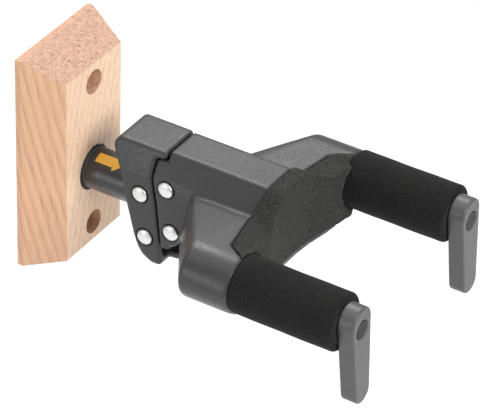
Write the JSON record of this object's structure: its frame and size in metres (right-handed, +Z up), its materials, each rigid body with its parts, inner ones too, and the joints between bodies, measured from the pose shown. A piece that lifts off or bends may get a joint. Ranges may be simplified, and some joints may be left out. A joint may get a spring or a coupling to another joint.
{
  "type": "wall guitar hanger",
  "caption": "Wall hanger for a guitar: oak base, pull-out swivel arm, padded yoke on a four-bar linkage, and two gates that close as the neck's weight lowers the yoke.",
  "frame": {"origin": "on the oak base's back face, which lies on the wall, midway between the two wall screws", "axes": "+Y into the wall, so the hanger points along -Y; +Z up; +X is the right-hand side seen from the room"},
  "size_m": [0.103, 0.1602, 0.093],
  "materials": {
    "oak": "oiled oak, open grain",
    "zinc_steel": "zinc plated, turned",
    "dark_steel": "black, satin",
    "rivet_steel": "bright nickel plate",
    "charcoal_plastic": "moulded, fine spark texture",
    "black_plastic": "moulded, satin",
    "bronze": "sintered bronze, oiled",
    "label_film": "printed film with a plain arrow",
    "nylon": "natural nylon",
    "pad_foam": "moulded foam, fine open cells",
    "sleeve_foam": "fine-cell foam tube",
    "gate_plastic": "moulded, fine spark texture"
  },
  "bodies": {
    "base": {"wood_base": "oak", "back_plate": "zinc_steel", "back_plate_screws": "dark_steel", "socket_bush": "black_plastic", "pull_spring": "zinc_steel"},
    "carriage": {"thrust_washer": "bronze"},
    "arm": {"arm_tube": "dark_steel", "arm_collar": "zinc_steel", "arm_collar_pin": "dark_steel", "arm_plug": "zinc_steel", "arm_bolt": "dark_steel", "arrow_label": "label_film", "rear_bracket": "charcoal_plastic", "rear_upper_pin": "rivet_steel", "rear_lower_pin": "rivet_steel", "lift_bar": "dark_steel", "spring_guide": "nylon", "return_spring": "zinc_steel"},
    "upper_link": {"upper_links": "zinc_steel"},
    "lower_link": {"lower_links": "zinc_steel"},
    "yoke": {"front_upper_pin": "rivet_steel", "front_lower_pin": "rivet_steel", "yoke_body": "charcoal_plastic", "yoke_cover": "charcoal_plastic", "cover_screws": "dark_steel", "spring_seat": "nylon", "crotch_pad": "pad_foam", "left_prong_tube": "zinc_steel", "left_rear_bush": "nylon", "left_front_bush": "nylon", "left_end_washer": "black_plastic", "left_foam_sleeve": "sleeve_foam", "right_prong_tube": "zinc_steel", "right_rear_bush": "nylon", "right_front_bush": "nylon", "right_end_washer": "black_plastic", "right_foam_sleeve": "sleeve_foam"},
    "left_gate_arm": {"left_gate_shaft": "zinc_steel", "left_crank": "bronze", "left_crank_pin": "rivet_steel", "left_roll_pin": "dark_steel", "left_gate": "gate_plastic", "left_gate_screw": "dark_steel", "left_gate_plug": "black_plastic"},
    "right_gate_arm": {"right_gate_shaft": "zinc_steel", "right_crank": "bronze", "right_crank_pin": "rivet_steel", "right_roll_pin": "dark_steel", "right_gate": "gate_plastic", "right_gate_screw": "dark_steel", "right_gate_plug": "black_plastic"}
  },
  "joints": [
    {"name": "arm_pull", "type": "slide", "parent": "base", "child": "carriage", "axis": [0, -1, 0], "range_m": [0, 0.0045], "stiffness_N_per_m": 3000, "springref_m": -0.004, "deforming": ["pull_spring"]},
    {"name": "arm_swivel", "type": "hinge", "parent": "carriage", "child": "arm", "pos_m": [0, -0.005, -0.0065], "axis": [0, 1, 0], "range_deg": [-45, 45]},
    {"name": "yoke_drop", "type": "hinge", "parent": "arm", "child": "upper_link", "pos_m": [0, -0.049, 0.0005], "axis": [1, 0, 0], "range_deg": [0, 46], "stiffness_Nm_per_rad": 0.12, "springref_deg": -22.92, "deforming": ["return_spring"]},
    {"name": "yoke_level", "type": "hinge", "parent": "upper_link", "child": "yoke", "pos_m": [0, -0.06037, 0.0068], "axis": [-1, 0, 0], "range_deg": [0, 46]},
    {"name": "lower_link_swing", "type": "hinge", "parent": "arm", "child": "lower_link", "pos_m": [0, -0.0514, -0.018], "axis": [1, 0, 0], "range_deg": [0, 46]},
    {"name": "left_gate_swing", "type": "hinge", "parent": "yoke", "child": "left_gate_arm", "pos_m": [-0.04, -0.157, 0.001], "axis": [0, -1, 0], "range_deg": [0, 90]},
    {"name": "right_gate_swing", "type": "hinge", "parent": "yoke", "child": "right_gate_arm", "pos_m": [0.04, -0.157, 0.001], "axis": [0, 1, 0], "range_deg": [0, 90]}
  ],
  "couplings": [
    {"joint": "yoke_level", "follows": "yoke_drop", "ratio": 1},
    {"joint": "lower_link_swing", "follows": "yoke_drop", "ratio": 1},
    {"joint": "left_gate_swing", "follows": "yoke_drop", "ratio": 1.9565},
    {"joint": "right_gate_swing", "follows": "yoke_drop", "ratio": 1.9565}
  ]
}
